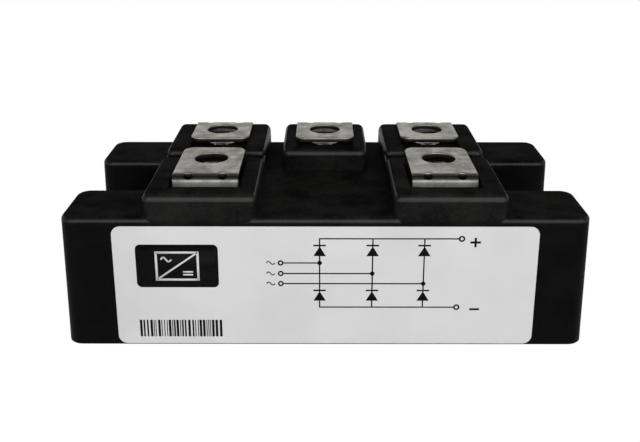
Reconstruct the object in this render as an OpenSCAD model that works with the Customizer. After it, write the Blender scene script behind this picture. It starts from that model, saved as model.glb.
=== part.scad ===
// Three-phase bridge rectifier module: five screw terminals on a moulded housing,
// six diodes on a ceramic substrate, and a copper base plate that bolts to a heatsink.
// Millimetres. The origin is under the middle of the base, the label faces -Y.

/* [Housing] */
// Length of the housing at its foot, along X
housing_length = 94; // [90:0.5:98]
// Width of the housing at its foot, along Y
housing_width = 46; // [45:0.5:50]
// Height of the deck above the heatsink
deck_height = 24.8; // [24:0.1:25.6]
// Draft of the outer walls, in degrees
draft_angle = 1.15; // [0.5:0.05:1.5]
// Thickness of the outer walls at their foot
wall = 2.1; // [1.6:0.1:2.4]
// Thickness of the roof over the cavity
roof = 2.4; // [2:0.1:3]
// Gap between the foot of the skirt and the heatsink
skirt_gap = 0.3; // [0.1:0.05:0.6]
// Corner radius of the ears in plan, at their foot
ear_corner_r = 3; // [2:0.1:3.4]
// Fillet along the edges of the deck and the ears
deck_fillet = 0.9; // [0.5:0.1:1.2]

/* [Screw notches] */
// Width of each screw notch at its foot
notch_width = 15.4; // [14.5:0.1:16.5]
// Radius of the notch's inner corners at their foot
notch_r = 3; // [2:0.25:4]

/* [Terminal blocks] */
// Height of the blocks above the deck
block_rise = 4.3; // [4:0.1:4.6]
// Distance from a side terminal to the inner foot of its block, along X
block_inner_reach = 10.35; // [9.8:0.05:10.6]
// Distance from a side terminal to the outer foot of its block, along X
block_outer_reach = 10.75; // [10:0.05:11]
// Width of the middle block at its foot, along X
middle_block_width = 18.3; // [16.5:0.1:18.6]
// Depth of the front blocks, from the front wall
front_block_depth = 22.7; // [22.2:0.1:23.2]
// Depth of the rear blocks, from the back wall
rear_block_depth = 20.4; // [19.8:0.1:20.8]
// Corner radius of the blocks in plan, at their foot
block_corner_r = 2; // [1.8:0.1:2.4]
// Fillet along the top edges of the blocks
block_fillet = 1.35; // [0.6:0.05:1.4]

/* [Terminals] */
// Distance from the middle terminal to each side terminal, along X
side_pitch = 21.7; // [21:0.1:22.4]
// Width of the terminal strip
strip_width = 12; // [11.6:0.1:12.4]
// Thickness of the terminal strip
strip_thickness = 0.9; // [0.7:0.05:0.9]
// Outer radius of the strip's bends
bend_r = 1.4; // [1.2:0.1:1.8]
// Diameter of the screw hole in each terminal
terminal_hole_d = 6.4; // [5.5:0.1:6.6]
// Distance from a terminal's hole to its free end
free_reach = 6.65; // [6.2:0.05:6.8]
// Corner radius of a terminal's free end
free_corner_r = 2; // [0.8:0.1:2.4]
// Distance from the front wall to the front holes
front_row_inset = 18; // [17.8:0.1:18.2]
// Distance from a front terminal's hole to its leg
front_leg_reach = 10; // [9.6:0.1:10.4]
// Distance from a rear terminal's hole to its leg
rear_leg_reach = 6.3; // [6:0.1:6.6]
// Diameter of the two perforations in each upper bend
perforation_d = 1.7; // [1:0.1:2]
// Distance between the two perforations
perforation_pitch = 6.2; // [5:0.1:7]
// Lean of the perforations from the vertical, in degrees
perforation_lean = 30; // [20:5:50]
// Width of the leg and the foot inside the housing
leg_width = 8; // [7:0.25:8.5]
// Length of the foot that is soldered to the substrate
foot_length = 4.5; // [4:0.1:5]

/* [Nuts] */
// Width of the nuts across their flats
nut_flats = 8; // [7.8:0.05:8.1]
// Height of the nuts
nut_height = 4; // [3.6:0.1:4.4]
// Minor diameter of the nuts' thread
nut_bore_d = 4.2; // [4:0.05:4.4]
// Depth of the screw's clearance hole below each nut
screw_room = 3.7; // [3:0.1:4]

/* [Wells] */
// Depth of the wells under the terminals
well_depth = 1.3; // [1:0.05:1.4]
// Width of the wells round the nuts
well_width = 11.5; // [10.5:0.1:11.6]
// Distance from a rear hole to the free end of its well
rear_well_reach = 10.6; // [10.2:0.1:10.8]
// Gap beside a front terminal, on the side away from the middle
tray_outer_gap = 0.35; // [0.2:0.05:1]
// Gap beside a front terminal, on the side towards the middle
tray_inner_gap = 0.7; // [0.2:0.05:1.4]
// Gap between a front leg and the front end of its tray
tray_front_gap = 4; // [3.5:0.1:5]

/* [Base plate] */
// Thickness of the skirt round the base plate
skirt_wall = 1.6; // [1.4:0.1:1.7]
// Thickness of the base plate
base_thickness = 3; // [2.5:0.1:3.5]
// Corner radius of the base plate
base_corner_r = 1.2; // [0.8:0.1:2]
// Distance from each end of the housing to the end of the lug there
lug_inset = 0.3; // [0:0.1:1.3]
// Distance from each end of the housing to its mounting hole
mounting_hole_inset = 7; // [6.5:0.1:7.5]
// Diameter of the mounting holes
mounting_hole_d = 6.5; // [5.5:0.1:7]

/* [Substrate] */
// Thickness of the ceramic
ceramic_thickness = 0.63; // [0.38:0.01:1]
// Thickness of the copper on each face of the ceramic
copper_thickness = 0.3; // [0.2:0.05:0.4]
// Bare rim of the ceramic round its copper
ceramic_rim = 0.9; // [0.6:0.1:1.1]
// Gap between neighbouring tracks
track_gap = 1; // [0.8:0.05:1.3]
// Copper left bare in front of and behind each upper chip
chip_margin = 1; // [0.5:0.1:1.5]

/* [Diodes] */
// Side of the square diode chips
chip_side = 6; // [5:0.1:6.4]
// Thickness of the diode chips
chip_thickness = 0.35; // [0.25:0.01:0.5]
// Width of the clips that join the chips to the tracks
clip_width = 3.5; // [2.5:0.1:4]
// Thickness of the clips
clip_thickness = 0.4; // [0.3:0.05:0.6]
// Height of the clips' span above the chips
clip_rise = 2.6; // [2:0.1:3]
// Length of the clips' feet
clip_foot = 2.4; // [2:0.1:2.6]

/* [Gel and label] */
// Level of the silicone gel above the heatsink
gel_level = 12; // [10:0.5:16]
// Width of the label
label_width = 74.8; // [70:0.2:77]
// Height of the label
label_height = 22.8; // [21:0.1:23]
// Thickness of the label
label_thickness = 0.15; // [0.1:0.01:0.3]
// Corner radius of the label
label_corner_r = 1.6; // [1:0.1:2.5]
// Distance from the housing's foot plane to the label's lower edge
label_inset = 0.5; // [0.4:0.05:0.8]

/* [Hidden] */
$fn = 48;
// Clearances
base_clearance = 0.2;
slot_clearance = 0.1;
nut_clearance = 0.1;
nut_proud = 0.1;
leg_gap = 0.1;
// Overlap that lets a cut run past a face
cut = 1;

draft = tan(draft_angle);
block_height = deck_height + block_rise;
terminal_height = block_height + strip_thickness;
half_length = housing_length / 2;
half_width = housing_width / 2;
blocks_outer_x = side_pitch + block_outer_reach;
blocks_inner_x = side_pitch - block_inner_reach;
ear_overlap = ear_corner_r + 3;
front_block_back_y = front_block_depth - half_width;
rear_block_front_y = half_width - rear_block_depth;

cavity_x = blocks_outer_x - wall;
cavity_y = half_width - wall;
ceiling_z = deck_height - roof;
well_floor_z = block_height - well_depth;

front_row_y = front_row_inset - half_width;
rear_row_y = cavity_y - leg_gap - rear_leg_reach;
shoulder_z = ceiling_z;

nut_z = well_floor_z + nut_proud - nut_height;
pocket_flats = nut_flats + 2 * nut_clearance;
screw_room_d = nut_bore_d + 1.4;
boss_d = screw_room_d + 3.6;
boss_floor = 1.4;

base_length = housing_length - 2 * (skirt_wall + base_clearance);
base_width = housing_width - 2 * (skirt_wall + base_clearance);
mounting_pitch = housing_length - 2 * mounting_hole_inset;

// Levels of the layers, from the base plate up
ceramic_z = base_thickness + copper_thickness;
track_z = ceramic_z + ceramic_thickness;
track_top_z = track_z + copper_thickness;
chip_top_z = track_top_z + chip_thickness;

// Plan of the substrate: the feet of the side terminals set its length
substrate_edge = 1.4;
copper_x = side_pitch + leg_width / 2 + substrate_edge;
ceramic_x = copper_x + ceramic_rim;
ceramic_y = cavity_y - 1.1;
copper_y = ceramic_y - ceramic_rim;
phase_pitch = (2 * copper_x + track_gap) / 3;
positive_y = chip_side / 2 + chip_margin;
phase_front_y = positive_y + track_gap;
branch_x = side_pitch - leg_width / 2 - track_gap / 2;
lower_chip_offset = -phase_pitch / 4;
upper_chip_offset = phase_pitch / 4;
rear_foot_end_y = rear_row_y + rear_leg_reach - foot_length;
lower_chip_y = (phase_front_y + rear_foot_end_y) / 2;
clip_landing_y = phase_front_y + 0.5;

// A box given by its two corners
module span(low, high) {
    translate(low) cube(high - low);
}

// A rounded rectangle centred on the origin
module rounded_plan(size, r) {
    square([size.x - 2 * r, size.y], center = true);
    square([size.x, size.y - 2 * r], center = true);
    for (sx = [-1, 1], sy = [-1, 1])
        translate([sx * (size.x / 2 - r), sy * (size.y / 2 - r)]) circle(r);
}

// ---- Moulded blocks: one wall profile, carried round four sides and four corners ----

// A length rounded to a thousandth, so that a wall and its fillet end at the same point
function micron(length) = round(1000 * length) / 1000;

// Section of a drafted wall with a rounded top edge; its outer foot is at x = r, z = 0
module wall_profile(height, r, fillet) {
    wall_top = [micron(r - draft * (height - fillet)), height - fillet];
    centre = wall_top - [fillet, 0];
    polygon([[0, skirt_gap], [r - draft * skirt_gap, skirt_gap], wall_top, centre,
             [centre.x, height], [0, height]]);
    intersection() {
        translate(centre) circle(fillet);
        translate(centre) square(2 * fillet);
    }
}

// A block with drafted walls; low and high are its plan corners at z = 0
module moulded_block(low, high, height, r, fillet) {
    inner_low = low + [r, r];
    inner_high = high - [r, r];
    size = inner_high - inner_low;
    corners = [[inner_high.x, inner_high.y], [inner_low.x, inner_high.y],
               [inner_low.x, inner_low.y], [inner_high.x, inner_low.y]];
    span([inner_low.x, inner_low.y, skirt_gap], [inner_high.x, inner_high.y, height]);
    for (i = [0 : 3]) {
        translate(corners[i]) rotate(90 * i) {
            rotate_extrude(angle = 90) wall_profile(height, r, fillet);
            rotate([90, 0, 0])
                linear_extrude(i % 2 == 0 ? size.y : size.x) wall_profile(height, r, fillet);
        }
    }
}

// Concave, drafted fill in a notch's inner corner, with a rounded top edge
module notch_cove() {
    top = deck_height;
    fillet = deck_fillet;
    wall_top = [micron(notch_r + draft * (top - fillet)), top - fillet];
    centre = wall_top + [fillet, 0];
    reach = notch_r + 2 * draft * top + fillet;
    difference() {
        span([-reach, 0, skirt_gap], [0, reach, top]);
        rotate_extrude() difference() {
            polygon([[0, -cut], [notch_r - draft * cut, -cut], wall_top, centre,
                     [centre.x, top + cut], [0, top + cut]]);
            translate(centre) circle(fillet);
        }
    }
}

// ---- Housing ----

module ears() {
    for (sx = [0, 1], sy = [0, 1])
        mirror([sx, 0, 0]) mirror([0, sy, 0])
            moulded_block([blocks_outer_x - ear_overlap, notch_width / 2],
                          [half_length, half_width], deck_height, ear_corner_r, deck_fillet);
}

module coves() {
    for (sx = [0, 1], sy = [0, 1])
        mirror([sx, 0, 0]) mirror([0, sy, 0])
            translate([blocks_outer_x + notch_r, notch_width / 2 - notch_r, 0]) notch_cove();
}

module side_blocks() {
    for (sx = [0, 1]) mirror([sx, 0, 0]) {
        moulded_block([blocks_inner_x, -half_width], [blocks_outer_x, front_block_back_y],
                      block_height, block_corner_r, block_fillet);
        moulded_block([blocks_inner_x, rear_block_front_y], [blocks_outer_x, half_width],
                      block_height, block_corner_r, block_fillet);
        // Floor of the groove between the two blocks
        moulded_block([blocks_inner_x, front_block_back_y - 4], [blocks_outer_x, rear_block_front_y + 4],
                      well_floor_z, block_corner_r, block_fillet / 2);
    }
}

module housing_outside() {
    moulded_block([-blocks_outer_x, -half_width], [blocks_outer_x, half_width],
                  deck_height, block_corner_r, deck_fillet);
    ears();
    coves();
    side_blocks();
    moulded_block([-middle_block_width / 2, rear_block_front_y], [middle_block_width / 2, half_width],
                  block_height, block_corner_r, block_fillet);
}

module base_outline(grow = 0) {
    rounded_plan([base_length + 2 * grow, base_width + 2 * grow], base_corner_r);
    lug_width = notch_width - 2 * base_clearance;
    rounded_plan([housing_length - 2 * lug_inset + 2 * grow, lug_width + 2 * grow], base_corner_r);
}

// Hex pocket for the nut, and the screw's clearance hole below it
module nut_pocket() {
    translate([0, 0, nut_z])
        cylinder(d = pocket_flats / cos(30), h = block_height - nut_z + cut, $fn = 6);
    translate([0, 0, nut_z - screw_room]) cylinder(d = screw_room_d, h = screw_room + cut);
}

// Well under a terminal; the leg lies towards +y
module well(free_end, leg_reach) {
    top = block_height + cut;
    span([-well_width / 2, -free_end, well_floor_z], [well_width / 2, leg_reach, top]);
    slot_w = strip_width + 2 * slot_clearance;
    span([-slot_w / 2, leg_reach - strip_thickness - slot_clearance, ceiling_z - cut],
         [slot_w / 2, leg_reach + slot_clearance, top]);
    nut_pocket();
}

// Tray beside a terminal and in front of its leg; the middle of the module lies towards -x
module tray(inner_gap, outer_gap, leg_reach, front_gap) {
    span([-strip_width / 2 - inner_gap, 0, well_floor_z],
         [strip_width / 2 + outer_gap, leg_reach + front_gap, block_height + cut]);
}

module front_rows() {
    for (sx = [0, 1])
        mirror([sx, 0, 0]) translate([side_pitch, front_row_y, 0]) mirror([0, 1, 0]) children();
}

module rear_rows() {
    for (x = [-side_pitch, 0, side_pitch])
        translate([x, rear_row_y, 0]) children();
}

module ear_cavity() {
    side = wall + draft * ceiling_z;
    span([blocks_outer_x + side - 0.6, notch_width / 2 + side, -cut],
         [half_length - side, cavity_y, ceiling_z]);
}

module cavities() {
    difference() {
        span([-cavity_x, -cavity_y, -cut], [cavity_x, cavity_y, ceiling_z]);
        boss_h = ceiling_z - nut_z + screw_room + boss_floor + cut;
        front_rows() translate([0, 0, ceiling_z + cut - boss_h]) cylinder(d = boss_d, h = boss_h);
        rear_rows() translate([0, 0, ceiling_z + cut - boss_h]) cylinder(d = boss_d, h = boss_h);
    }
    for (sx = [0, 1], sy = [0, 1])
        mirror([sx, 0, 0]) mirror([0, sy, 0]) ear_cavity();
    translate([0, 0, -cut]) linear_extrude(base_thickness + cut) base_outline(base_clearance);
}

module housing() {
    front_well_reach = front_block_back_y - front_row_y + 1;
    color([0.1, 0.1, 0.1]) difference() {
        housing_outside();
        cavities();
        front_rows() well(front_well_reach, front_leg_reach);
        front_rows() tray(tray_inner_gap, tray_outer_gap, front_leg_reach, tray_front_gap);
        rear_rows() well(rear_well_reach, rear_leg_reach);
        rear_rows() tray(slot_clearance, slot_clearance, rear_leg_reach, slot_clearance);
    }
}

// ---- Base plate and substrate ----

module base_plate() {
    color([0.78, 0.76, 0.72]) difference() {
        linear_extrude(base_thickness) base_outline();
        for (x = [-mounting_pitch / 2, mounting_pitch / 2])
            translate([x, 0, -cut]) cylinder(d = mounting_hole_d, h = base_thickness + 2 * cut);
    }
}

module substrate_back_copper() {
    color([0.8, 0.5, 0.35])
        span([-copper_x, -copper_y, base_thickness], [copper_x, copper_y, ceramic_z]);
}

module substrate_ceramic() {
    color([0.95, 0.95, 0.93])
        span([-ceramic_x, -ceramic_y, ceramic_z], [ceramic_x, ceramic_y, track_z]);
}

// Positive track: a band under the upper diodes, with a branch to the terminal's foot
module track_positive() {
    color([0.8, 0.5, 0.35]) {
        span([-copper_x, -positive_y, track_z], [copper_x, positive_y, track_top_z]);
        span([branch_x, -copper_y, track_z], [copper_x, 0, track_top_z]);
    }
}

module track_negative() {
    color([0.8, 0.5, 0.35])
        span([-copper_x, -copper_y, track_z],
             [branch_x - track_gap, -phase_front_y, track_top_z]);
}

// Phase track, one for each alternating-current terminal
module track_phase(phase) {
    middle = phase_pitch * (phase - 2);
    half = (phase_pitch - track_gap) / 2;
    color([0.8, 0.5, 0.35])
        span([middle - half, phase_front_y, track_z],
             [middle + half, copper_y, track_top_z]);
}

// ---- Diodes and clips ----

module chip() {
    color([0.3, 0.32, 0.36])
        span([-chip_side / 2, -chip_side / 2, track_top_z],
             [chip_side / 2, chip_side / 2, chip_top_z]);
}

module diode_upper(phase) {
    translate([phase_pitch * (phase - 2) + upper_chip_offset, 0, 0]) chip();
}

module diode_lower(phase) {
    translate([phase_pitch * (phase - 2) + lower_chip_offset, lower_chip_y, 0]) chip();
}

// Bridge clip in the YZ plane: a foot on the chip at chip_y, a raised span, a foot at track_y
module clip(chip_y, track_y) {
    t = clip_thickness;
    side = sign(track_y - chip_y);
    top = chip_top_z + clip_rise;
    chip_edge = chip_y + side * clip_foot / 2;
    track_edge = track_y - side * clip_foot / 2;
    color([0.82, 0.56, 0.4]) {
        strut(chip_y - side * clip_foot / 2, chip_edge, chip_top_z, chip_top_z + t);
        strut(chip_edge - side * t, chip_edge, chip_top_z, top);
        strut(chip_edge - side * t, track_edge + side * t, top - t, top);
        strut(track_edge, track_edge + side * t, track_top_z, top);
        strut(track_edge, track_y + side * clip_foot / 2, track_top_z, track_top_z + t);
    }
}

// One straight piece of a clip, between two places along Y and two heights
module strut(y1, y2, z1, z2) {
    span([-clip_width / 2, min(y1, y2), z1], [clip_width / 2, max(y1, y2), z2]);
}

module clip_upper(phase) {
    translate([phase_pitch * (phase - 2) + upper_chip_offset, 0, 0])
        clip(0, clip_landing_y + clip_foot / 2);
}

module clip_lower(phase) {
    translate([phase_pitch * (phase - 2) + lower_chip_offset, 0, 0])
        clip(lower_chip_y, -clip_landing_y - clip_foot / 2);
}

// ---- Terminals and nuts ----

// Quarter bend of the strip about an axis along X, from +Y round to +Z
module quarter_bend(width) {
    rotate([90, 0, 90]) translate([0, 0, -width / 2])
        rotate_extrude(angle = 90)
            translate([bend_r - strip_thickness, 0]) square([strip_thickness, width]);
}

// Strip with a flat top, a leg and a soldered foot; the hole is on the origin's axis
module terminal(leg_reach) {
    w = strip_width;
    t = strip_thickness;
    bend_y = leg_reach - bend_r;
    foot_end_y = leg_reach - foot_length;
    color([0.62, 0.6, 0.57]) difference() {
        union() {
            span([-w / 2, free_corner_r - free_reach, terminal_height - t],
                 [w / 2, bend_y, terminal_height]);
            span([free_corner_r - w / 2, -free_reach, terminal_height - t],
                 [w / 2 - free_corner_r, 0, terminal_height]);
            for (side = [-1, 1])
                translate([side * (w / 2 - free_corner_r), free_corner_r - free_reach,
                           terminal_height - t]) cylinder(r = free_corner_r, h = t);
            translate([0, bend_y, terminal_height - bend_r]) quarter_bend(w);
            span([-w / 2, leg_reach - t, shoulder_z], [w / 2, leg_reach, terminal_height - bend_r]);
            span([-leg_width / 2, leg_reach - t, track_top_z + bend_r],
                 [leg_width / 2, leg_reach, shoulder_z]);
            translate([0, bend_y, track_top_z + bend_r]) mirror([0, 0, 1]) quarter_bend(leg_width);
            span([-leg_width / 2, foot_end_y, track_top_z], [leg_width / 2, bend_y, track_top_z + t]);
        }
        translate([0, 0, terminal_height - t - cut]) cylinder(d = terminal_hole_d, h = t + 2 * cut);
        for (x = [-perforation_pitch / 2, perforation_pitch / 2])
            translate([x, bend_y, terminal_height - bend_r]) rotate([-perforation_lean, 0, 0])
                cylinder(d = perforation_d, h = bend_r + cut);
    }
}

module front_terminal(x) {
    translate([x, front_row_y, 0]) mirror([0, 1, 0]) terminal(front_leg_reach);
}

module terminal_positive() {
    front_terminal(side_pitch);
}

module terminal_negative() {
    front_terminal(-side_pitch);
}

module terminal_ac(phase) {
    translate([side_pitch * (phase - 2), rear_row_y, 0]) terminal(rear_leg_reach);
}

// Hex nut with chamfered corners and a chamfered thread mouth
module nut() {
    corner_r = nut_flats / 2 / cos(30);
    chamfer_r = nut_flats / 2 + 0.1;
    bore_r = nut_bore_d / 2;
    mouth = 0.4;
    color([0.66, 0.64, 0.6]) translate([0, 0, nut_z]) difference() {
        intersection() {
            cylinder(r = corner_r, h = nut_height, $fn = 6);
            rotate_extrude()
                polygon([[0, 0], [chamfer_r, 0], [corner_r, 0.3], [corner_r, nut_height - 0.3],
                         [chamfer_r, nut_height], [0, nut_height]]);
        }
        rotate_extrude()
            polygon([[0, -cut], [bore_r + mouth + cut, -cut], [bore_r, mouth],
                     [bore_r, nut_height - mouth], [bore_r + mouth + cut, nut_height + cut],
                     [0, nut_height + cut]]);
    }
}

module nut_positive() {
    translate([side_pitch, front_row_y, 0]) nut();
}

module nut_negative() {
    translate([-side_pitch, front_row_y, 0]) nut();
}

module nut_ac(phase) {
    translate([side_pitch * (phase - 2), rear_row_y, 0]) nut();
}

// ---- Gel and label ----

// Silicone gel over the chips: it fills the cavity round every piece up to its level
module gel_fill() {
    color([0.85, 0.88, 0.9, 0.5]) difference() {
        span([-cavity_x, -cavity_y, base_thickness], [cavity_x, cavity_y, gel_level]);
        substrate_back_copper();
        substrate_ceramic();
        track_positive();
        track_negative();
        for (phase = [1 : 3]) {
            track_phase(phase);
            diode_upper(phase);
            diode_lower(phase);
            clip_upper(phase);
            clip_lower(phase);
            terminal_ac(phase);
        }
        terminal_positive();
        terminal_negative();
    }
}

// Label on the front wall, leaning with its draft
module label() {
    color([0.84, 0.84, 0.86])
        translate([0, -half_width, 0]) rotate([90 - draft_angle, 0, 0])
            translate([0, label_inset + label_height / 2, 0])
                linear_extrude(label_thickness) rounded_plan([label_width, label_height], label_corner_r);
}

base_plate();
substrate_back_copper();
substrate_ceramic();
track_positive();
track_negative();
track_phase(1);  // track_phase_1
track_phase(2);  // track_phase_2
track_phase(3);  // track_phase_3
diode_upper(1);  // diode_upper_1
diode_upper(2);  // diode_upper_2
diode_upper(3);  // diode_upper_3
diode_lower(1);  // diode_lower_1
diode_lower(2);  // diode_lower_2
diode_lower(3);  // diode_lower_3
clip_upper(1);  // clip_upper_1
clip_upper(2);  // clip_upper_2
clip_upper(3);  // clip_upper_3
clip_lower(1);  // clip_lower_1
clip_lower(2);  // clip_lower_2
clip_lower(3);  // clip_lower_3
terminal_positive();
terminal_negative();
terminal_ac(1);  // terminal_ac_1
terminal_ac(2);  // terminal_ac_2
terminal_ac(3);  // terminal_ac_3
nut_positive();
nut_negative();
nut_ac(1);  // nut_ac_1
nut_ac(2);  // nut_ac_2
nut_ac(3);  // nut_ac_3
gel_fill();
housing();
label();
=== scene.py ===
import math

import bmesh
import bpy
import numpy as np
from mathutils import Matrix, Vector
from mathutils.geometry import delaunay_2d_cdt


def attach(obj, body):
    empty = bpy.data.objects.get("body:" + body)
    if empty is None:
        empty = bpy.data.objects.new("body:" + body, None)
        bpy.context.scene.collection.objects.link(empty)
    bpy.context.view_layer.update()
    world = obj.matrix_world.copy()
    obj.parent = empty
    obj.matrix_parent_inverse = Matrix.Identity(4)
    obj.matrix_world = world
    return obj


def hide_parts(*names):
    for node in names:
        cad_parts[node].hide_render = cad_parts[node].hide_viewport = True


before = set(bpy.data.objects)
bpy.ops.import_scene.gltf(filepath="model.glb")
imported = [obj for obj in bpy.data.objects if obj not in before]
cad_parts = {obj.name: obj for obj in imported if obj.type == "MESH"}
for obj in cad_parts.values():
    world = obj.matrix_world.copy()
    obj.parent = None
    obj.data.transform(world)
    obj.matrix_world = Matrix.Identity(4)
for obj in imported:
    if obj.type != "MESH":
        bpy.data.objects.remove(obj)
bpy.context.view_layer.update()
mm = 0.001
print("frame loaded:", len(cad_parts), "nodes")


def finishPiece(piece, replaced, smooth=True):
    # put a piece into the scene; a smooth one takes its normals mostly from its larger faces
    bpy.context.scene.collection.objects.link(piece)
    if smooth:
        normals = piece.modifiers.new("face weighted normals", "WEIGHTED_NORMAL")
        normals.weight = 100
        normals.keep_sharp = True
    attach(piece, "root")
    if replaced:
        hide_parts(*replaced)


def addPiece(name, points, faceSets, finish, replaced=(), smooth=True):
    # points in millimetres in the row's frame; each face set is an array of quads or of triangles
    mesh = bpy.data.meshes.new(name)
    counts = np.concatenate([np.full(len(f), f.shape[1], dtype=np.int32) for f in faceSets])
    corners = np.concatenate([f.ravel() for f in faceSets]).astype(np.int32)
    starts = np.concatenate([[0], np.cumsum(counts)[:-1]]).astype(np.int32)
    mesh.vertices.add(len(points))
    mesh.vertices.foreach_set("co", (points * mm).ravel())
    mesh.loops.add(len(corners))
    mesh.loops.foreach_set("vertex_index", corners)
    mesh.polygons.add(len(counts))
    mesh.polygons.foreach_set("loop_start", starts)
    mesh.polygons.foreach_set("loop_total", counts)
    mesh.update(calc_edges=True)
    mesh.validate()
    if smooth:
        mesh.polygons.foreach_set("use_smooth", np.ones(len(counts), dtype=bool))
    mesh.materials.append(finish)
    finishPiece(bpy.data.objects.new(name, mesh), replaced, smooth)


def gridFaces(rows, columns, wrapRows=False, wrapColumns=False):
    # quads of a grid whose points are stored row by row; a wrapped direction joins its last line
    # to its first
    r = np.arange(rows if wrapRows else rows - 1)
    c = np.arange(columns if wrapColumns else columns - 1)
    r, c = np.meshgrid(r, c, indexing="ij")
    nextR, nextC = (r + 1) % rows, (c + 1) % columns
    corners = [r * columns + c, r * columns + nextC, nextR * columns + nextC, nextR * columns + c]
    return np.stack(corners, axis=-1).reshape(-1, 4)


def mitre(loop):
    # outward vector at each corner of a loop that runs with its material on the left: the sum of
    # the two edges' unit normals over 1 plus their dot product, so a step of it moves both by 1
    back = loop - np.roll(loop, 1, axis=0)
    ahead = np.roll(loop, -1, axis=0) - loop
    n1, n2 = (np.stack([edge[:, 1], -edge[:, 0]], 1) / np.linalg.norm(edge, axis=1)[:, None]
              for edge in (back, ahead))
    return (n1 + n2) / (1 + (n1 * n2).sum(1))[:, None]


def holeLoop(centre, radius, count):
    # centre + radius * (cos t, sin t); a hole runs clockwise, so its material stays on the left
    turn = -np.linspace(0, 2 * np.pi, count, endpoint=False)
    return np.asarray(centre) + radius * np.stack([np.cos(turn), np.sin(turn)], 1)


def inside(points, loop):
    # even-odd rule: a ray towards +x from each point crosses the loop an odd number of times
    a, b = loop, np.roll(loop, -1, axis=0)
    px, py = points[:, :1], points[:, 1:]
    crosses = (a[:, 1] > py) != (b[:, 1] > py)
    span = np.where(b[:, 1] == a[:, 1], 1e-12, b[:, 1] - a[:, 1])  # a level edge is never crossed
    meets = a[:, 0] + (py - a[:, 1]) / span * (b[:, 0] - a[:, 0])
    return (crosses & (px < meets)).sum(1) % 2 == 1


def distanceTo(points, loop):
    # distance from each point to the nearest corner of the loop
    return np.sqrt(((points[:, None, :] - loop[None, :, :]) ** 2).sum(2)).min(1)


# seedGap keeps the inner points off the loops, and a rim takes its quarter turn in these steps
plateMesh = {"seedGap": 0.14, "mergeWithin": 1e-5, "rimTurns": (22.5, 45, 67.5, 90)}


def plateFromPlan(outer, holes, seeds, thickness, edge, place):
    # a plate cut from a flat plan, with rounded rims: the plan is triangulated between its loops,
    # laid at depth 0 and at depth thickness, and each loop gets a rim that turns a quarter round
    # (out by edge * sin t, down by edge * (1 - cos t)), runs down the wall and turns again.
    # place(u, v, depth) bends the plan's three coordinates into space
    loops = [outer] + holes
    mitres = [mitre(loop) for loop in loops]
    inner = [loop - edge * m for loop, m in zip(loops, mitres)]
    gap = plateMesh["seedGap"]
    keep = inside(seeds, inner[0]) & (distanceTo(seeds, inner[0]) > gap)
    for hole in inner[1:]:
        keep &= ~inside(seeds, hole) & (distanceTo(seeds, hole) > gap)
    flat = np.concatenate(inner + [seeds[keep]])
    firsts = np.cumsum([0] + [len(loop) for loop in inner])
    rings = [np.arange(first, last) for first, last in zip(firsts[:-1], firsts[1:])]
    edges = np.concatenate([np.stack([ids, np.roll(ids, -1)], 1) for ids in rings]).tolist()
    # the triangulation numbers its points anew, so its triangles go back to the plan's numbers
    result = delaunay_2d_cdt([Vector(p) for p in flat], edges, [], 1, plateMesh["mergeWithin"])
    triangles = np.array([origin[0] for origin in result[3]])[np.array(result[2])]
    middle = flat[triangles].mean(1)
    keep = inside(middle, inner[0])
    for hole in inner[1:]:
        keep &= ~inside(middle, hole)
    triangles = triangles[keep]
    a, b, c = flat[triangles[:, 0]], flat[triangles[:, 1]], flat[triangles[:, 2]]
    clockwise = ((b[:, 0] - a[:, 0]) * (c[:, 1] - a[:, 1])
                 - (b[:, 1] - a[:, 1]) * (c[:, 0] - a[:, 0])) < 0
    triangles[clockwise] = triangles[clockwise][:, ::-1]
    count = len(flat)
    points = [place(flat[:, 0], flat[:, 1], np.full(count, depth)) for depth in (0.0, thickness)]
    faces = [triangles, triangles[:, ::-1] + count]
    turns = np.radians(plateMesh["rimTurns"])
    out = np.concatenate([edge * np.sin(turns), edge * np.sin(turns)[::-1]])
    down = edge * (1 - np.cos(turns))
    down = np.concatenate([down, thickness - down[::-1]])
    total = 2 * count
    for ids, loop, m in zip(rings, inner, mitres):
        rows = [loop + o * m for o in out]
        points += [place(r[:, 0], r[:, 1], np.full(len(ids), d)) for r, d in zip(rows, down)]
        wall = total + np.arange(len(ids) * len(out)).reshape(len(out), len(ids))
        ids = np.concatenate([[ids], wall, [count + ids]])
        ahead = np.roll(ids, -1, axis=1)
        faces.append(np.stack([ids[:-1], ids[1:], ahead[1:], ahead[:-1]], -1).reshape(-1, 4))
        total += wall.size
    return np.concatenate(points), faces


def shader(mat):
    # the material's surface shader
    return mat.node_tree.nodes["Principled BSDF"]


def material(name, colour, roughness, metallic=0.0, **sockets):
    # what is the same all over a surface goes on the shader's own sockets
    mat = bpy.data.materials.new(name)
    mat.use_nodes = True
    values = {"Base Color": (*colour, 1), "Roughness": roughness, "Metallic": metallic}
    values.update({socket.replace("_", " "): value for socket, value in sockets.items()})
    for socket, value in values.items():
        shader(mat).inputs[socket].default_value = value
    return mat


def addNode(owner, kind, **values):
    # owner is a material or the world; a value goes to the node's setting or socket of that name
    node = owner.node_tree.nodes.new(kind)
    for key, value in values.items():
        if hasattr(node, key):
            setattr(node, key, value)
        else:
            node.inputs[key.replace("_", " ")].default_value = value
    return node


def link(owner, source, target):
    owner.node_tree.links.new(source, target)


def feed(mat, socket, source):
    # let a pattern set one of the shader's sockets
    link(mat, source, shader(mat).inputs[socket])


def onPiece(mat, stretch=(1, 1, 1)):
    # Object coordinates, stretched for a pattern that runs one way
    mapping = addNode(mat, "ShaderNodeMapping", Scale=stretch)
    link(mat, addNode(mat, "ShaderNodeTexCoord").outputs["Object"], mapping.inputs["Vector"])
    return mapping.outputs["Vector"]


def heightOf(owner, where):
    # the Z of a place or of a direction
    parts = addNode(owner, "ShaderNodeSeparateXYZ")
    link(owner, where, parts.inputs[0])
    return parts.outputs["Z"]


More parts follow.
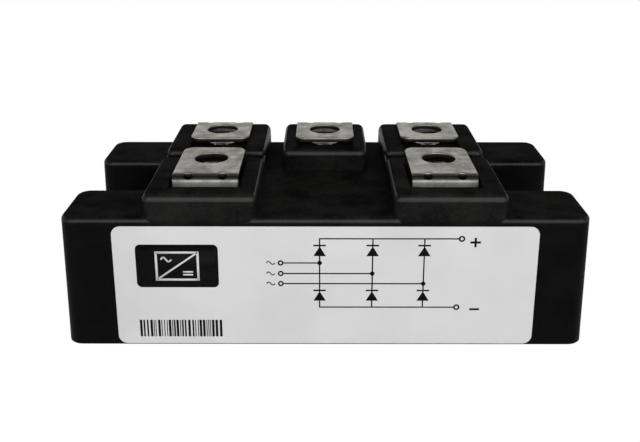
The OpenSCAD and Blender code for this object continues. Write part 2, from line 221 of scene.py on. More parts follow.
def noise(mat, where, size, detail, rough):
    # size is the width of the pattern's patches in millimetres
    node = addNode(mat, "ShaderNodeTexNoise", Scale=1 / (size * mm), Detail=detail, Roughness=rough)
    link(mat, where, node.inputs["Vector"])
    return node.outputs["Fac"]


def remap(owner, value, low, high, outLow, outHigh, **settings):
    # low..high becomes outLow..outHigh, and what lies beyond is held at the ends
    node = addNode(owner, "ShaderNodeMapRange", From_Min=low, From_Max=high, To_Min=outLow,
                   To_Max=outHigh, **settings)
    link(owner, value, node.inputs["Value"])
    return node.outputs["Result"]


def calculate(owner, operation, *values):
    # each value is a number or another node's output
    node = addNode(owner, "ShaderNodeMath", operation=operation)
    for socket, value in zip(node.inputs, values):
        if isinstance(value, float):
            socket.default_value = value
        else:
            link(owner, value, socket)
    return node.outputs[0]


def mixColour(mat, factor, first, second):
    # a Mix node for colours has them on inputs 6 and 7, and its result on output 2
    node = addNode(mat, "ShaderNodeMix", data_type="RGBA")
    for index, colour in ((6, first), (7, second)):
        if isinstance(colour, tuple):
            node.inputs[index].default_value = (*colour, 1)
        else:
            link(mat, colour, node.inputs[index])
    link(mat, factor, node.inputs[0])
    return node.outputs[2]


def bump(mat, height, depth, strength, normal=None):
    # depth is the height of the relief in millimetres
    node = addNode(mat, "ShaderNodeBump", Strength=strength, Distance=depth * mm)
    link(mat, height, node.inputs["Height"])
    if normal is not None:
        link(mat, normal, node.inputs["Normal"])
    return node.outputs["Normal"]


# In the finishes below a pattern is (patch size in mm, detail, roughness) of a noise, and a tone is
# (noise from, noise to, share from, share to). Nearly all of a noise lies within wideSpan
wideSpan, tightSpan = (0.3, 0.7), (0.35, 0.65)

# between the heights upperFrom and upperTo the dark sides turn into the greyer top, which is
# painted light: a painted sheen standing in for the light the tops catch. A face whose normal rises
# up to wallRise is a wall, and up to rimRise it is a rim. Each finish has its own share of that
# painted top sheen, and the same share sets how much dust it shows
housingFinish = {
    "side": {"dark": (0.0012, 0.0013, 0.0012), "light": (0.0034, 0.0034, 0.0032)},
    "upper": {"dark": (0.0025, 0.0026, 0.0023), "light": (0.021, 0.0207, 0.0196)},
    "upperFrom": 23.2, "upperTo": 24.7, "roughness": 0.5,
    "flat": {"roughness": (0.5, 0.7), "gloss": 0.005, "topSheenAndDust": 1.0},
    "wall": {"roughness": (0.34, 0.5), "gloss": 0.04, "topSheenAndDust": 0.55},
    "rim": {"roughness": (0.26, 0.38), "gloss": 0.25, "topSheenAndDust": 0.7},
    "wallRise": 0.045, "rimRise": 0.8,
    "cloud": (7, 5, 0.62), "cloudTone": (0.34, 0.66, -0.2, 0.7),
    "grain": (0.28, 2, 0.6), "grainTone": (0.35, 0.65, 0, 0.5), "grainDepth": 0.018,
    "grainStrength": 0.6,
    "speck": (0.9, 5, 0.7), "speckTone": (0.64, 0.74, 0, 0.5), "dust": (0.045, 0.044, 0.042),
    "edgeRadius": 0.22, "edgeSamples": 4}


def blackPlastic(name, part):
    # cloudy black resin with a fine spark-eroded grain and specks of dust on its top; the top is
    # also painted greyer than the sides, a painted sheen
    h, finish = housingFinish, housingFinish[part]
    mat = material(name, h["upper"]["dark"], h["roughness"], Specular_IOR_Level=finish["gloss"])
    where = onPiece(mat)
    cloud, grain, speck = (noise(mat, where, *h[key]) for key in ("cloud", "grain", "speck"))
    mottle = calculate(mat, "ADD", remap(mat, cloud, *h["cloudTone"]),
                       remap(mat, grain, *h["grainTone"]))
    tone = remap(mat, mottle, 0, 1, 0, 1)
    # painted sheen: from upperFrom to upperTo the colour turns from the dark sides to the greyer
    # top, by the finish's share, and the dust specks follow the same share
    topSheenAndDustShare = remap(mat, heightOf(mat, where), h["upperFrom"] * mm, h["upperTo"] * mm, 0,
                   finish["topSheenAndDust"])
    below, above = (mixColour(mat, tone, h[key]["dark"], h[key]["light"])
                    for key in ("side", "upper"))
    dusted = calculate(mat, "MULTIPLY", remap(mat, speck, *h["speckTone"]), topSheenAndDustShare)
    feed(mat, "Base Color", mixColour(mat, dusted, mixColour(mat, topSheenAndDustShare, below, above), h["dust"]))
    feed(mat, "Roughness", remap(mat, grain, *wideSpan, *finish["roughness"]))
    edge = addNode(mat, "ShaderNodeBevel", samples=h["edgeSamples"], Radius=h["edgeRadius"] * mm)
    feed(mat, "Normal", bump(mat, grain, h["grainDepth"], h["grainStrength"],
                             edge.outputs["Normal"]))
    return mat


# lay stretches the marks along the metal, and depth is their height. Between the two heights of
# bend a terminal's skirt darkens in a painted shade, and between those of lip it turns light again
# in a painted highlight
nickelPattern = {"cloud": (2.6, 5, 0.62), "toneSpan": (0.36, 0.64), "fine": (0.35, 3, 0.6),
                 "marks": (0.5, 3, 0.65), "markShare": 0.4, "strength": 0.7}
terminalFinish = {
    "bright": (0.66, 0.62, 0.57), "dull": (0.38, 0.352, 0.315), "roughness": (0.36, 0.5),
    "lay": (0.5, 0.08, 0.5), "depth": 0.0015,
    "skirt": {"bend": (29.96, 29.7), "lip": (29.2, 28.8), "paintedBendShade": (0.035, 0.034, 0.031),
              "bright": (0.68, 0.655, 0.61), "dull": (0.4, 0.385, 0.355), "rougher": 0.1}}
nutFinish = {"bright": (0.8, 0.78, 0.75), "dull": (0.5, 0.48, 0.455), "roughness": (0.12, 0.26),
             "lay": (1, 1, 1), "depth": 0.002}
baseFinish = {"bright": (0.64, 0.62, 0.585), "dull": (0.55, 0.53, 0.5), "roughness": (0.22, 0.4),
              "lay": (0.05, 1, 1), "depth": 0.004}


def satinNickel(name, bright, dull, roughness, lay, depth, skirt=None):
    # nickel plating: cloudy tone, patches of duller surface and fine marks that run along the strip
    mat = material(name, bright, sum(roughness) / 2, 1.0)
    where = onPiece(mat)
    cloud, fine = (noise(mat, where, *nickelPattern[key]) for key in ("cloud", "fine"))
    marks = noise(mat, onPiece(mat, lay), *nickelPattern["marks"])
    tone = remap(mat, cloud, *nickelPattern["toneSpan"], 0, 1)
    colour = mixColour(mat, tone, dull, bright)
    low, high = roughness
    marked = (high - low) * nickelPattern["markShare"]
    rough = calculate(mat, "ADD", remap(mat, cloud, *tightSpan, high - marked, low),
                      remap(mat, marks, *wideSpan, 0, marked))
    if skirt:
        # below the flat top the forming has made the plating rougher; the bend is painted dark as a
        # painted shade, and the lip below it is painted lighter as a painted highlight
        height = heightOf(mat, where)
        formedAndShaded, below = (remap(mat, height, skirt[key][0] * mm, skirt[key][1] * mm, 0, 1)
                         for key in ("bend", "lip"))
        lip = mixColour(mat, tone, skirt["dull"], skirt["bright"])
        # the painted shade on the bend turns into the painted highlight of the lip
        colour = mixColour(mat, formedAndShaded, colour, mixColour(mat, below, skirt["paintedBendShade"], lip))
        rough = calculate(mat, "MULTIPLY_ADD", formedAndShaded, skirt["rougher"], rough)
    feed(mat, "Base Color", colour)
    feed(mat, "Roughness", rough)
    relief = calculate(mat, "ADD", marks, fine)
    feed(mat, "Normal", bump(mat, relief, depth, nickelPattern["strength"]))
    return mat


copperFinish = {"colour": (0.78, 0.4, 0.26), "second": (0.66, 0.31, 0.2), "roughness": 0.32,
                "rougher": (0.75, 1.3), "cloud": (2.5, 4, 0.6), "fine": (0.3125, 3, 0.55),
                "depth": 0.004, "strength": 0.5}
chipFinish = {"colour": (0.5, 0.51, 0.55), "second": (0.38, 0.39, 0.43), "roughness": 0.25,
              "rougher": (0.75, 1.3), "cloud": (1.2, 4, 0.6), "fine": (0.15, 3, 0.55),
              "depth": 0.004, "strength": 0.5}


def plainMetal(name, finish):
    # bare metal, clouded between two colours and between two shares of its roughness
    mat = material(name, finish["colour"], finish["roughness"], 1.0)
    where = onPiece(mat)
    cloud, fine = (noise(mat, where, *finish[key]) for key in ("cloud", "fine"))
    tone = remap(mat, cloud, *tightSpan, 0, 1)
    feed(mat, "Base Color", mixColour(mat, tone, finish["colour"], finish["second"]))
    low, high = (finish["roughness"] * share for share in finish["rougher"])
    feed(mat, "Roughness", remap(mat, cloud, *wideSpan, low, high))
    feed(mat, "Normal", bump(mat, fine, finish["depth"], finish["strength"]))
    return mat


filmFinish = {"colour": (0.6, 0.6, 0.602), "dark": (0.575, 0.575, 0.58),
              "light": (0.62, 0.62, 0.622), "plainRoughness": 0.42, "roughness": (0.36, 0.5),
              "gloss": 0.4, "cloud": (14, 3, 0.55), "fibre": (0.4, 4, 0.7), "depth": 0.006,
              "strength": 0.35}


def paperFilm():
    # pale film, faintly clouded, with a fibre that shows in its gloss and relief
    f = filmFinish
    mat = material("label film", f["colour"], f["plainRoughness"], Specular_IOR_Level=f["gloss"])
    where = onPiece(mat)
    cloud, fibre = (noise(mat, where, *f[key]) for key in ("cloud", "fibre"))
    tone = remap(mat, cloud, *tightSpan, 0, 1)
    feed(mat, "Base Color", mixColour(mat, tone, f["dark"], f["light"]))
    feed(mat, "Roughness", remap(mat, fibre, *wideSpan, *f["roughness"]))
    feed(mat, "Normal", bump(mat, fibre, f["depth"], f["strength"]))
    return mat


inkFinish = {"colour": (0.003, 0.003, 0.003), "dark": (0.0025, 0.0025, 0.0025),
             "worn": (0.03, 0.03, 0.03), "plainRoughness": 0.38, "roughness": (0.3, 0.46),
             "gloss": 0.06, "wear": (0.25, 4, 0.7), "wearTone": (0.62, 0.8, 0, 0.5)}


def printedInk():
    # black ink, worn to grey in small specks
    f = inkFinish
    mat = material("black ink", f["colour"], f["plainRoughness"], Specular_IOR_Level=f["gloss"])
    wear = noise(mat, onPiece(mat), *f["wear"])
    feed(mat, "Base Color", mixColour(mat, remap(mat, wear, *f["wearTone"]), f["dark"], f["worn"]))
    feed(mat, "Roughness", remap(mat, wear, *wideSpan, *f["roughness"]))
    return mat


ceramicFinish = {"colour": (0.8, 0.79, 0.76), "dark": (0.78, 0.77, 0.74),
                 "light": (0.84, 0.83, 0.81), "roughness": 0.55, "cloud": (3, 4, 0.55),
                 "fine": (0.2, 3, 0.55), "depth": 0.004, "strength": 0.4}


def whiteCeramic():
    # fired alumina: a faint cloud in its white and a fine grain
    f = ceramicFinish
    mat = material("alumina", f["colour"], f["roughness"])
    where = onPiece(mat)
    cloud, fine = (noise(mat, where, *f[key]) for key in ("cloud", "fine"))
    tone = remap(mat, cloud, *wideSpan, 0, 1)
    feed(mat, "Base Color", mixColour(mat, tone, f["dark"], f["light"]))
    feed(mat, "Normal", bump(mat, fine, f["depth"], f["strength"]))
    return mat


gelFinish = {"colour": (0.9, 0.93, 0.94), "roughness": 0.06, "transmission": 0.92, "ior": 1.41,
             "ripple": (6, 3, 0.55), "depth": 0.05, "strength": 0.3}


def clearGel():
    # poured silicone: clear, with a slow ripple in its skin
    f = gelFinish
    mat = material("silicone gel", f["colour"], f["roughness"],
                   Transmission_Weight=f["transmission"], IOR=f["ior"])
    ripple = noise(mat, onPiece(mat), *f["ripple"])
    feed(mat, "Normal", bump(mat, ripple, f["depth"], f["strength"]))
    return mat


plastic = blackPlastic("black moulding", "flat")
wallPlastic = blackPlastic("black moulding, walls", "wall")
rimPlastic = blackPlastic("black moulding, worn rims", "rim")
terminalNickel = satinNickel("terminal nickel", **terminalFinish)
nutNickel = satinNickel("nut nickel", **nutFinish)
baseNickel = satinNickel("base plate nickel", **baseFinish)
copper = plainMetal("copper", copperFinish)
chipMetal = plainMetal("metallised silicon", chipFinish)
ceramic = whiteCeramic()
gel = clearGel()
film = paperFilm()
ink = printedInk()

# a node takes the finish of its whole name, or else of its name's first word
finishOf = {
    "housing": plastic, "label": film, "gel_fill": gel, "base_plate": baseNickel,
    "substrate_back_copper": copper, "substrate_ceramic": ceramic, "track": copper,
    "clip": copper, "diode": chipMetal, "terminal": terminalNickel, "nut": nutNickel}
for name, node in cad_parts.items():
    node.data.materials.clear()
    node.data.materials.append(finishOf[name if name in finishOf else name.split("_")[0]])
print("materials made")


# sizes in millimetres: freeReach runs from the screw's hole to the free edge, shoulder is the
# height where the strip narrows to its leg, and edge is the rounding of its rims. Then the mesh:
# rows along the top, the first bend, down to the shoulder, the leg, the second bend and the foot
terminalParts = {
    "width": 12.0, "thickness": 0.9, "top": 30.0, "bendRadius": 1.4, "holeRadius": 3.2,
    "freeReach": 6.65, "legWidth": 8.0, "shoulder": 22.4, "footTop": 4.23, "footLength": 4.5,
    "corner": 2.0, "perforation": 0.85, "perforationReach": 3.1, "perforationLean": 30,
    "edge": 0.16, "decimals": 5, "tolerance": 1e-6,
    "rows": (16, 15, 9, 16, 13, 5), "cornerSteps": 9, "freeEdgeSteps": 14, "footEdgeSteps": 13,
    "holeSteps": 72, "perforationSteps": 24, "seedReach": 5.5, "seedColumns": 23, "firstRow": 0.6}
# reach runs from the screw's hole to the outside of the leg, and facing is the leg's way along Y
terminalRows = {"front": {"y": -5.0, "reach": 10.0, "facing": -1},
                "rear": {"y": 14.5, "reach": 6.3, "facing": 1}}
terminalPlaces = {"negative": (-21.7, "front"), "positive": (21.7, "front"),
                  "ac_1": (-21.7, "rear"), "ac_2": (0, "rear"), "ac_3": (21.7, "rear")}


def stripPath(reach):
    # the strip's outer face as it is unrolled: v runs along the top, round the first bend, down the
    # leg, round the second bend and along the foot, so y and z are sums of clipped lengths and of
    # sines and cosines
    t = terminalParts
    r, h = t["bendRadius"], t["top"]
    topLength = t["freeReach"] + reach - r
    arc = r * math.pi / 2
    legLength = h - r - t["footTop"] - r
    footLength = t["footLength"] - r

    def bend(u, v, depth):
        phi1 = np.clip((v - topLength) / r, 0, math.pi / 2)
        phi2 = np.clip((v - topLength - arc - legLength) / r, 0, math.pi / 2)
        down = np.clip(v - topLength - arc, 0, legLength)
        back = np.clip(v - topLength - 2 * arc - legLength, 0, None)
        y = (-t["freeReach"] + np.minimum(v, topLength) + r * np.sin(phi1)
             + r * (np.cos(phi2) - 1) - back)
        z = h - r * (1 - np.cos(phi1)) - down - r * np.sin(phi2)
        phi = phi1 + phi2
        return np.stack([u, y - depth * np.sin(phi), z - depth * np.cos(phi)], 1)

    return bend, topLength, arc, legLength, footLength


def sideLine(x, rows):
    # points (x, row), one for each row
    return np.stack([np.full(len(rows), x), rows], 1)


def terminalPiece(name, x, y, reach, facing):
    # the unrolled outline runs round two quarter circles at the free corners, down one side, in at
    # the shoulder, along the foot and back up; the plate cut from it is bent along the strip's path
    t = terminalParts
    corner = t["corner"]
    bend, topLength, arc, legLength, footLength = stripPath(reach)
    half, legHalf = t["width"] / 2, t["legWidth"] / 2
    shoulder = topLength + arc + (t["top"] - t["bendRadius"] - t["shoulder"])
    end = topLength + 2 * arc + legLength + footLength
    marks = (corner, topLength, topLength + arc, shoulder, topLength + arc + legLength,
             topLength + 2 * arc + legLength, end)
    stations = np.concatenate([np.linspace(start, stop, count)
                               for start, stop, count in zip(marks[:-1], marks[1:], t["rows"])])
    stations = np.unique(np.round(stations, t["decimals"]))
    wide = stations[stations <= shoulder + t["tolerance"]]
    narrow = stations[stations >= shoulder - t["tolerance"]]
    turn = np.radians(np.linspace(180, 270, t["cornerSteps"]))[1:-1]
    cornerLeft = np.stack([-half + corner + corner * np.cos(turn),
                           corner + corner * np.sin(turn)], 1)
    cornerRight = np.stack([-cornerLeft[::-1, 0], cornerLeft[::-1, 1]], 1)
    freeX = np.linspace(-half + corner, half - corner, t["freeEdgeSteps"])
    footX = np.linspace(legHalf, -legHalf, t["footEdgeSteps"])[1:-1]
    freeEdge = np.stack([freeX, np.zeros(len(freeX))], 1)
    footEdge = np.stack([footX, np.full(len(footX), end)], 1)
    outer = np.concatenate([cornerLeft, freeEdge, cornerRight, sideLine(half, wide),
                            sideLine(legHalf, narrow), footEdge,
                            sideLine(-legHalf, narrow[::-1]), sideLine(-half, wide[::-1])])
    perforationAt = topLength + t["bendRadius"] * math.radians(t["perforationLean"])
    holes = [holeLoop((0, t["freeReach"]), t["holeRadius"], t["holeSteps"])]
    holes += [holeLoop((hand * t["perforationReach"], perforationAt), t["perforation"],
                       t["perforationSteps"]) for hand in (-1, 1)]
    rows = np.concatenate([np.linspace(t["firstRow"], corner, 3)[:-1], stations])
    u, v = np.meshgrid(np.linspace(-t["seedReach"], t["seedReach"], t["seedColumns"]), rows)
    seeds = np.stack([u.ravel(), v.ravel()], 1)
    points, faces = plateFromPlan(outer, holes, seeds, t["thickness"], t["edge"], bend)
    points[:, 0] += x
    points[:, 1] = y + facing * points[:, 1]
    if facing < 0:
        faces = [f[:, ::-1] for f in faces]
    addPiece(name + "_strip", points, faces, terminalNickel, (name,))


for name, (x, row) in terminalPlaces.items():
    terminalPiece("terminal_" + name, x, **terminalRows[row])
print("terminals made")


# chamferRadius and chamferSlope give the cone that cuts the hexagon's corners. bore and root are
# the thread's inner and outer radius, and flank and crest set how much of a turn each takes
nutParts = {"flats": 8.0, "height": 4.0, "base": 23.9, "chamferRadius": 4.1, "chamferSlope": 1.6,
            "chamferTo": 0.34, "plainFrom": 0.5, "bore": 2.1, "root": 2.48, "pitch": 0.8,
            "mouth": 2.6, "flank": 1.35, "crest": 0.18,
            "turns": 144, "chamferRows": 7, "plainRows": 4, "boreRows": 90}


def nutPiece(name, x, y):
    # a grid of turn against profile: the outside is the smaller of a hexagon, half the flats over
    # the cosine of the turn from the nearest flat, and a cone at each end. The bore is a helix: its
    # radius rises and falls once per pitch, and one turn shifts it by one pitch
    n = nutParts
    angle = np.linspace(0, 2 * math.pi, n["turns"], endpoint=False)
    fromFlat = (angle - math.pi / 3) % (math.pi / 3) - math.pi / 6
    hexagon = n["flats"] / 2 / np.cos(fromFlat)
    h = n["height"]
    zOut = np.concatenate([np.linspace(0, n["chamferTo"], n["chamferRows"]),
                           np.linspace(n["plainFrom"], h - n["plainFrom"], n["plainRows"]),
                           np.linspace(h - n["chamferTo"], h, n["chamferRows"])])
    cone = n["chamferRadius"] + np.minimum(zOut, h - zOut) * n["chamferSlope"]
    outerR = np.minimum(hexagon[None, :], cone[:, None])
    zIn = np.linspace(h, 0, n["boreRows"])
    turned = zIn[:, None] / n["pitch"] - angle[None, :] / (2 * math.pi)
    ridge = np.clip(2 * np.abs(turned % 1 - 0.5) * n["flank"] - n["crest"], 0, 1)
    thread = n["bore"] + (n["root"] - n["bore"]) * ridge
    innerR = np.maximum(thread, n["mouth"] - np.minimum(zIn, h - zIn)[:, None])
    radius = np.concatenate([outerR, innerR])
    height = np.concatenate([zOut, zIn])[:, None] + np.zeros((1, n["turns"]))
    points = np.stack([x + radius * np.cos(angle), y + radius * np.sin(angle),
                       n["base"] + height], -1).reshape(-1, 3)
    faces = gridFaces(len(height), n["turns"], wrapRows=True, wrapColumns=True)
    addPiece(name + "_threaded", points, [faces], nutNickel, (name,))


for name, (x, row) in terminalPlaces.items():
    nutPiece("nut_" + name, x, terminalRows[row]["y"])
print("nuts made")


# distances in metres: corners closer than merge become one point, and edges shorter than shortest
# go. Faces that meet at less than sharpAngle are shaded as one surface
copyParts = {"merge": 1e-6, "shortest": 1e-7, "sharpAngle": 28}


def smoothCopy(nodeName, newName, finishes):
    # the node's own shape, merged and shaded smooth along its fillets; of three finishes, the
    # upright faces take the second, and the rims, which handling has polished, the third
    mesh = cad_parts[nodeName].data.copy()
    work = bmesh.new()
    work.from_mesh(mesh)
    bmesh.ops.remove_doubles(work, verts=work.verts, dist=copyParts["merge"])
    bmesh.ops.dissolve_degenerate(work, edges=work.edges, dist=copyParts["shortest"])
    for face in work.faces:
        face.smooth = True
    sharpest = math.radians(copyParts["sharpAngle"])
    for edge in work.edges:
        edge.smooth = len(edge.link_faces) == 2 and edge.calc_face_angle(0) < sharpest
    work.to_mesh(mesh)
    work.free()
    mesh.materials.clear()
    for finish in finishes:
        mesh.materials.append(finish)
    if len(finishes) == 3:
        facing = np.empty(len(mesh.polygons) * 3)
        mesh.polygons.foreach_get("normal", facing)
        rise = facing[2::3]
        upright = np.abs(rise) <= housingFinish["wallRise"]
        rim = (rise > housingFinish["wallRise"]) & (rise < housingFinish["rimRise"])
        mesh.polygons.foreach_set("material_index", (upright + 2 * rim).astype(np.int32))
    finishPiece(bpy.data.objects.new(newName, mesh), (nodeName,))


smoothCopy("housing", "housing_moulding", (plastic, wallPlastic, rimPlastic))
smoothCopy("base_plate", "base_plate_metal", (baseNickel,))
print("housing and base plate made")


# inset is the bare wall below the label, and inkSink is how deep a print reaches into the film
labelParts = {"width": 74.8, "height": 22.8, "corner": 1.6, "cornerSteps": 8, "spacing": 1.5,
              "thickness": 0.15, "edge": 0.05, "inset": 0.5, "draft": 1.15, "front": -23.0,
              "inkDepth": 0.012, "inkSink": 0.01,
              "seedReach": 36, "seedFrom": 2, "seedTo": 22, "seedStep": 2}


def onLabel(u, v, depth):
    # u along X, v up the drafted wall from its foot, depth out of the wall, which leans by draft
    lean = math.radians(labelParts["draft"])
    y = labelParts["front"] + v * math.sin(lean) - depth * math.cos(lean)
    z = v * math.cos(lean) + depth * math.sin(lean)
    return np.stack([u, y, z], 1)


def roundedLoop(x0, x1, y0, y1, r):
    # four quarter circles, x = cx + r cos t and y = cy + r sin t, joined by straight runs that are
    # cut into equal steps a little over the label's spacing
    centres = np.array([(x1 - r, y0 + r), (x1 - r, y1 - r), (x0 + r, y1 - r), (x0 + r, y0 + r)])
    starts = np.array([[-90], [0], [90], [180]])
    turn = np.radians(starts + np.linspace(0, 90, labelParts["cornerSteps"]))
    arcs = centres[:, None, :] + r * np.stack([np.cos(turn), np.sin(turn)], -1)
    loop = arcs.reshape(-1, 2)
    ahead = np.roll(loop, -1, axis=0)
    steps = np.linalg.norm(ahead - loop, axis=1) / labelParts["spacing"]
    steps = np.maximum(1, steps.astype(int))
    share = np.concatenate([np.arange(count) / count for count in steps])[:, None]
    return np.repeat(loop, steps, axis=0) + np.repeat(ahead - loop, steps, axis=0) * share


def labelPiece():
    # a flat plate with rounded corners, laid on the wall with its face outwards
    n = labelParts
    loop = roundedLoop(-n["width"] / 2, n["width"] / 2, n["inset"], n["inset"] + n["height"],
                       n["corner"])
    u, v = np.meshgrid(np.arange(-n["seedReach"], n["seedReach"] + 1, n["seedStep"]),
                       np.arange(n["seedFrom"], n["seedTo"] + 1, n["seedStep"]))
    seeds = np.stack([u.ravel(), v.ravel()], 1)
    points, faces = plateFromPlan(loop, [], seeds, n["thickness"], n["edge"],
                                  lambda u, v, depth: onLabel(u, v, n["thickness"] - depth))
    addPiece("label_film", points, faces, film, ("label",))


labelPiece()


def inkSlab(shapes, layers=1):
    # each shape is a convex outline; it becomes a thin closed slab on the label's face, one or
    # more layers high: its outline at two depths, a rim of quads and a fan of triangles on each end
    points, faces, start = [], [], 0
    low = labelParts["thickness"] - labelParts["inkSink"]
    high = labelParts["thickness"] + layers * labelParts["inkDepth"]
    for outline in shapes:
        outline = np.asarray(outline, dtype=float)
        n = len(outline)
        points += [onLabel(outline[:, 0], outline[:, 1], depth) for depth in (low, high)]
        i = start + np.arange(n)
        j = np.roll(i, -1)
        fan = start + np.arange(1, n - 1)
        first = np.full(n - 2, start)
        faces += [np.stack([i, j, n + j, n + i], 1), np.stack([n + first, n + fan, n + fan + 1], 1),
                  np.stack([first, fan + 1, fan], 1)]
        start += 2 * n
    return np.concatenate(points), faces


def bar(x1, y1, x2, y2, width):
    # the line's two ends, each moved by half the width to both sides
    a, b = np.array([x1, y1]), np.array([x2, y2])
    along = (b - a) / np.linalg.norm(b - a)
    across = np.array([-along[1], along[0]]) * width / 2
    return [a - across, b - across, b + across, a + across]


def dot(x, y, radius, count=20):
    # (x, y) + radius * (cos t, sin t)
    turn = np.linspace(0, 2 * math.pi, count, endpoint=False)
    return np.stack([x + radius * np.cos(turn), y + radius * np.sin(turn)], 1)


def ring(x, y, radius, width, count=20):
    # quads between two such circles, half the width inside and outside the radius
    inner, outer = (dot(x, y, r, count) for r in (radius - width / 2, radius + width / 2))
    return list(np.stack([outer, np.roll(outer, -1, 0), np.roll(inner, -1, 0), inner], 1))


def wave(x, y, length, height, width, count=10):
    # one period of a sine, drawn as short bars
    s = np.linspace(0, 1, count + 1)
    px, py = x + length * (s - 0.5), y + height * np.sin(2 * math.pi * s)
    return [bar(px[i], py[i], px[i + 1], py[i + 1], width) for i in range(count)]


def plus(x, y, reach, rise, width):
    # a level bar, and an upright one in two pieces above and below it
    return [bar(x - reach, y, x + reach, y, width), bar(x, y - rise, x, y - width / 2, width),
            bar(x, y + width / 2, x, y + rise, width)]


# three columns of two diodes between two rails, with the three inputs on the left. A diode is
# (foot, tip), the bottom rail is a little shorter, and the rings stand past the ends of the lines
circuit = {
    "line": 0.24, "columns": (-0.98, 8.33, 17.4), "topRail": 21.04, "bottomRail": 7.83,
    "railEnd": 23.4, "bottomShorter": 0.35, "topRing": 0.47, "bottomRing": 0.1,
    "railRing": {"radius": 0.42, "width": 0.3},
    "plus": {"x": 26.28, "y": 20.36, "reach": 0.92, "rise": 0.88, "width": 0.4},
    "minus": {"x1": 25.85, "y1": 7.43, "x2": 27.6, "y2": 7.43, "width": 0.4},
    "diodes": ((17.74, 19.6), (9.1, 10.95)), "diodeWidth": 2.2, "cathodeGap": 0.16,
    "cathodeLine": 0.3, "inputs": (16.43, 14.4, 12.44), "inputStart": -7.4, "joint": 0.42,
    "inputRing": {"radius": 0.38, "width": 0.28}, "inputRingGap": 0.46,
    "inputWave": {"x": -9.63, "length": 1.5, "height": 0.3, "width": 0.2}}


def circuitShapes():
    # level and upright bars for the lines, a triangle and a bar for each diode, dots for the joints
    c = circuit
    w, half = c["line"], c["diodeWidth"] / 2
    start, end = c["columns"][0] - w / 2, c["railEnd"]
    top, bottom = c["topRail"], c["bottomRail"]
    shapes = [bar(start, top, end, top, w),
              bar(start, bottom, end - c["bottomShorter"], bottom, w)]
    shapes += ring(end + c["topRing"], top, **c["railRing"])
    shapes += ring(end + c["bottomRing"], bottom, **c["railRing"])
    shapes += plus(**c["plus"]) + [bar(**c["minus"])]
    for column, level in zip(c["columns"], c["inputs"]):
        shapes.append(bar(column, bottom, column, top, w))
        for foot, tip in c["diodes"]:
            cathode = tip + c["cathodeGap"]
            shapes.append([(column - half, foot), (column + half, foot), (column, tip)])
            shapes.append(bar(column - half, cathode, column + half, cathode, c["cathodeLine"]))
        shapes.append(bar(c["inputStart"], level, column, level, w))
        shapes.append(dot(column, level, c["joint"]))
        shapes += ring(c["inputStart"] - c["inputRingGap"], level, **c["inputRing"])
        shapes += wave(y=level, **c["inputWave"])
    return shapes


# a dark field with the usual sign of a converter in it. The wave's place is taken from the sign's
# upper left corner, and that of the two level bars from its lower right one
converterMark = {
    "left": -33.4, "right": -18.85, "bottom": 11.7, "top": 19.9, "corner": 0.9, "line": 0.42,
    "sideMargin": 3.6, "margin": 1.5, "slantShare": 0.8, "waveRight": 1.75, "waveDown": 1.35,
    "wave": {"length": 1.9, "height": 0.42, "width": 0.3},
    "levelFrom": 2.7, "levelTo": 0.9, "levels": (1.5, 0.95), "levelLine": 0.3}


def converterField():
    # the dark field behind the sign, a rectangle with rounded corners
    c = converterMark
    return roundedLoop(c["left"], c["right"], c["bottom"], c["top"], c["corner"])


def converterSigns():
    # a box parted by a slanting line, with a wave on one side and two level bars on the other
    c = converterMark
    w = c["line"]
    left, right = c["left"] + c["sideMargin"], c["right"] - c["sideMargin"]
    bottom, top = c["bottom"] + c["margin"], c["top"] - c["margin"]
    shapes = [bar(left, bottom, right, bottom, w), bar(left, top, right, top, w),
              bar(left, bottom, right, top, w * c["slantShare"])]
    shapes += [bar(x, bottom - w / 2, x, top + w / 2, w) for x in (left, right)]
    shapes += wave(left + c["waveRight"], top - c["waveDown"], **c["wave"])
    shapes += [bar(right - c["levelFrom"], bottom + level, right - c["levelTo"], bottom + level,
                   c["levelLine"]) for level in c["levels"]]
    return shapes


codeParts = {"left": -33.4, "right": -18.6, "bottom": 1.9, "top": 5.26, "seed": 7,
             "bars": (0.16, 0.16, 0.3, 0.44), "gaps": (0.16, 0.2, 0.32)}


def codeBars():
    # plain upright bars of mixed widths, which stand for nothing
    c = codeParts
    random = np.random.default_rng(c["seed"])
    shapes, x = [], c["left"]
    while x < c["right"]:
        width = random.choice(c["bars"])
        shapes.append([(x, c["bottom"]), (x + width, c["bottom"]), (x + width, c["top"]),
                       (x, c["top"])])
        x += width + random.choice(c["gaps"])
    return shapes


# the light print is two layers high, so that it stands on the dark field
points, faces = inkSlab(converterSigns(), layers=2)
addPiece("label_light_print", points, faces, film, smooth=False)
points, faces = inkSlab(circuitShapes() + codeBars() + [converterField()])
addPiece("label_print", points, faces, ink, smooth=False)
print("label made")


# the floor glows white for the camera, and more weakly in gloss and through clear things
floorParts = {"colour": (0.8, 0.8, 0.8), "roughness": 0.9, "gloss": 0.1, "seenByCamera": 0.925,
              "seenInGloss": 0.4, "glow": 1.06, "radii": (0.0001, 200, 600, 1500, 4000),
              "sectors": 48}


def floorMaterial():
    # matt grey, mixed with a white glow by the share of it that each kind of ray sees
    f = floorParts
    mat = material("pale floor", f["colour"], f["roughness"], Specular_IOR_Level=f["gloss"])
    path = addNode(mat, "ShaderNodeLightPath").outputs
    glow = addNode(mat, "ShaderNodeEmission", Color=(1, 1, 1, 1), Strength=f["glow"])
    mirrored = calculate(mat, "MAXIMUM", path["Is Glossy Ray"], path["Is Transmission Ray"])
    dimmed = calculate(mat, "MULTIPLY", mirrored, f["seenInGloss"])
    share = calculate(mat, "MULTIPLY_ADD", path["Is Camera Ray"], f["seenByCamera"], dimmed)
    mix = addNode(mat, "ShaderNodeMixShader")
    for source, socket in zip((share, shader(mat).outputs[0], glow.outputs[0]), mix.inputs):
        link(mat, source, socket)
    link(mat, mix.outputs[0], mat.node_tree.nodes["Material Output"].inputs["Surface"])
    return mat


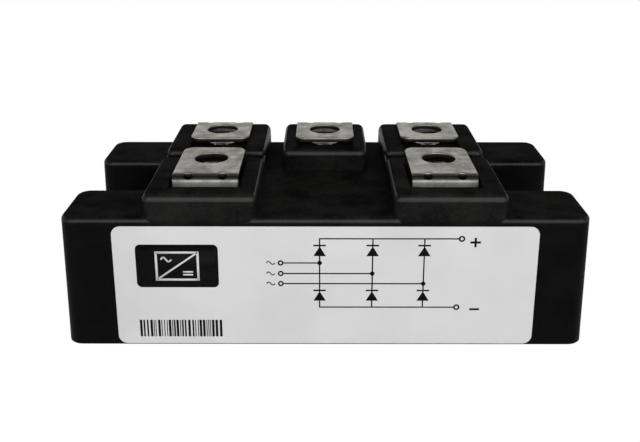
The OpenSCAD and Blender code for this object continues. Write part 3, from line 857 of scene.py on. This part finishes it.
def floorPiece():
    # rings about the object: x = r cos a, y = r sin a, z = 0
    f = floorParts
    angle = np.linspace(0, 2 * math.pi, f["sectors"], endpoint=False)
    r, a = np.meshgrid(f["radii"], angle, indexing="ij")
    points = np.stack([r * np.cos(a), r * np.sin(a), np.zeros_like(r)], -1).reshape(-1, 3)
    faces = gridFaces(len(f["radii"]), f["sectors"], wrapColumns=True)[:, ::-1]
    mesh = bpy.data.meshes.new("floor")
    mesh.from_pydata((points * mm).tolist(), [], faces.tolist())
    mesh.materials.append(floorMaterial())
    floor = bpy.data.objects.new("floor", mesh)
    bpy.context.scene.collection.objects.link(floor)


floorPiece()

lamps = {
    "key": {"place": (30, -305, 135), "aim": (0, -10, 20), "size": (860, 330), "power": 1.72},
    "back": {"place": (0, 380, 150), "aim": (0, 0, 20), "size": (620, 90), "power": 0.12}}
for name, lamp in lamps.items():
    data = bpy.data.lights.new(name, "AREA")
    data.shape = "RECTANGLE"
    data.size, data.size_y = lamp["size"][0] * mm, lamp["size"][1] * mm
    data.energy = lamp["power"]
    light = bpy.data.objects.new(name, data)
    light.location = Vector(lamp["place"]) * mm
    ray = Vector(lamp["aim"]) - Vector(lamp["place"])
    light.rotation_euler = ray.to_track_quat("-Z", "Y").to_euler()
    bpy.context.scene.collection.objects.link(light)

# grey walls up to about half way, a dark ceiling above them, and white where the camera looks past
# the floor. Between the two values of wallTop, the Z of the direction, the walls fade out
room = {"wall": 0.4, "ceiling": 0.035, "wallTop": (0.4, 0.68)}
world = bpy.data.worlds.new("studio")
bpy.context.scene.world = world
world.use_nodes = True
direction = addNode(world, "ShaderNodeTexCoord").outputs["Generated"]
walls = remap(world, heightOf(world, direction), *room["wallTop"], room["wall"], room["ceiling"],
              interpolation_type="SMOOTHSTEP")
cameraRay = addNode(world, "ShaderNodeLightPath").outputs["Is Camera Ray"]
background = world.node_tree.nodes["Background"]
background.inputs["Color"].default_value = (1, 1, 1, 1)
link(world, calculate(world, "MAXIMUM", walls, cameraRay), background.inputs["Strength"])

# place, lens and sensor in millimetres; pitch looks down and turn swings the view, in degrees
cameraParts = {"place": (-0.58, -157.44, 80.9), "pitch": 18.5, "turn": -0.142, "lens": 47.300625,
               "sensor": 36, "shift": -0.0978125, "clipStart": 0.01}
cameraData = bpy.data.cameras.new("camera")
cameraData.sensor_width = cameraParts["sensor"]
cameraData.lens = cameraParts["lens"]
cameraData.shift_y = cameraParts["shift"]
cameraData.clip_start = cameraParts["clipStart"]
camera = bpy.data.objects.new("camera", cameraData)
camera.location = Vector(cameraParts["place"]) * mm
camera.rotation_euler = (math.radians(90 - cameraParts["pitch"]), 0,
                         -math.radians(cameraParts["turn"]))
bpy.context.scene.collection.objects.link(camera)
bpy.context.scene.camera = camera
bpy.context.scene.view_settings.view_transform = "Standard"
print("studio made")
